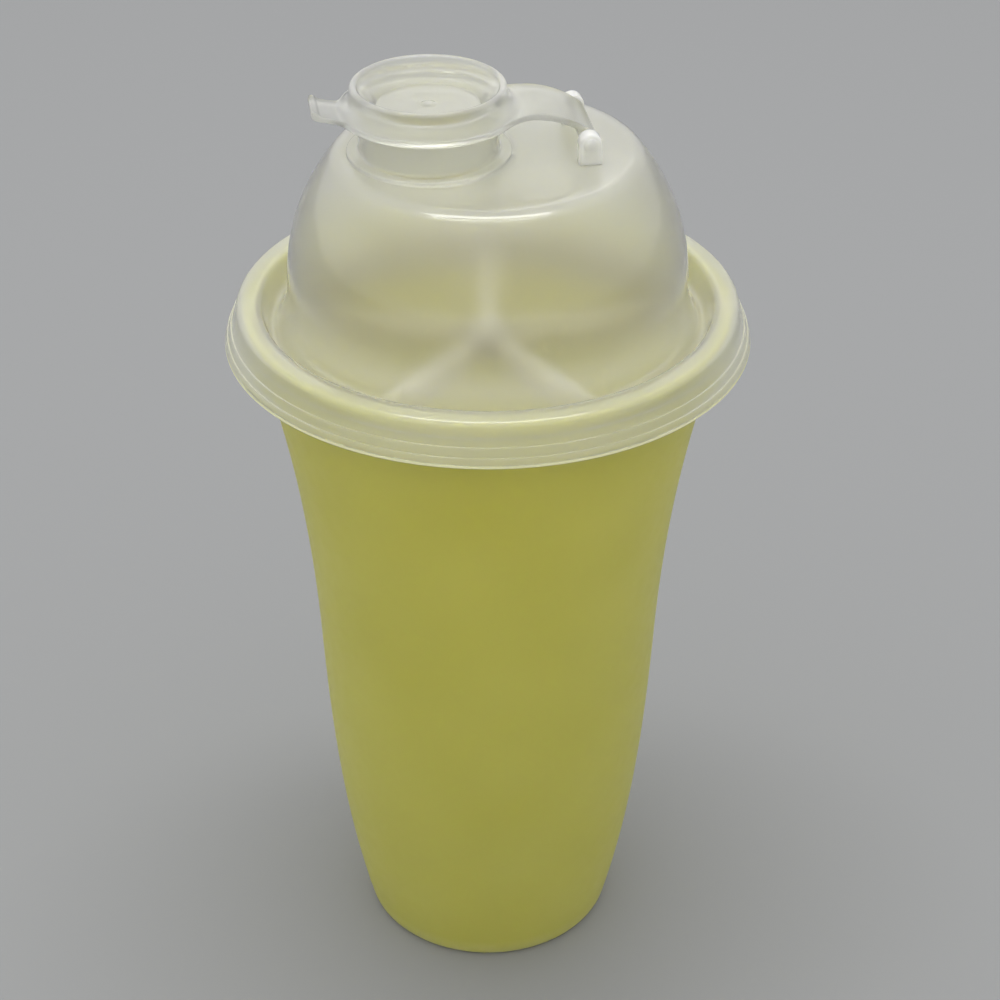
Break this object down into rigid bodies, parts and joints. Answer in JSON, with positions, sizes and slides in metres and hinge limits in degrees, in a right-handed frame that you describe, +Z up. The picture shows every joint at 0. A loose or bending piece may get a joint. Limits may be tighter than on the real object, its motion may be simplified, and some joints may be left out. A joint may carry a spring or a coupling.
{
  "type": "shaker cup",
  "caption": "Flared plastic tumbler with a domed press-on lid, a hinged flip cap over the pouring spout and a push-in mixing wheel, for mixing and pouring drinks.",
  "frame": {"origin": "centre of the base, on the surface that the cup stands on", "axes": "+Z up along the cup's axis, -X towards the pouring spout, +X towards the cap's hinge"},
  "size_m": [0.1004, 0.1004, 0.1899],
  "materials": {
    "tumbler_plastic": "pastel yellow polyethylene, satin, faintly translucent",
    "lid_plastic": "natural polyethylene, milky and translucent, soft gloss",
    "wheel_plastic": "natural polyethylene, milky, satin",
    "cap_plastic": "natural polyethylene, milky and translucent, soft gloss"
  },
  "bodies": {
    "tumbler": {"tumbler": "tumbler_plastic"},
    "lid": {"dome_lid": "lid_plastic"},
    "cap": {"flip_cap": "cap_plastic"},
    "wheel": {"mixing_wheel": "wheel_plastic"}
  },
  "joints": [
    {"name": "lid_lift", "type": "slide", "parent": "tumbler", "child": "lid", "axis": [0, 0, 1], "range_m": [0, 0.06]},
    {"name": "cap_flip", "type": "hinge", "parent": "lid", "child": "cap", "pos_m": [0.0172, 0, 0.1805], "axis": [0, 1, 0], "range_deg": [0, 165]},
    {"name": "wheel_pull", "type": "slide", "parent": "lid", "child": "wheel", "axis": [0, 0, -1], "range_m": [0, 0.01]}
  ]
}
